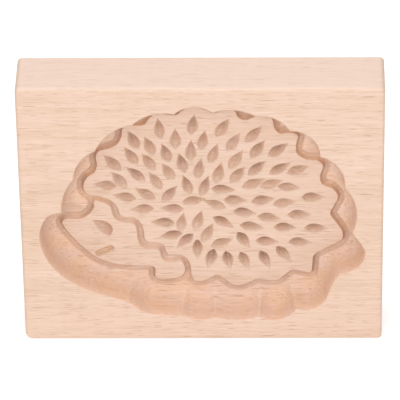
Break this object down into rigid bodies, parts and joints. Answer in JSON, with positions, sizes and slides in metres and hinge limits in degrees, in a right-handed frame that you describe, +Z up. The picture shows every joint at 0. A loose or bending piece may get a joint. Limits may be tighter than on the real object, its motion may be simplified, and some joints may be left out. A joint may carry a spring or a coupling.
{
  "type": "butter mold",
  "caption": "Flat rectangular beech block with a hedgehog-shaped cavity carved into one face, with fine quill cuts in its floor, for pressing butter or dough.",
  "frame": {"origin": "middle of the bottom edge face that the block stands on", "axes": "+X along the width, to the right when the carving is looked at; -Y out of the carved face; +Z up the height"},
  "size_m": [0.12, 0.02, 0.1],
  "materials": {
    "beech": "bare sanded beech, matt to satin"
  },
  "bodies": {
    "root": {"mold_block": "beech"}
  },
  "joints": []
}
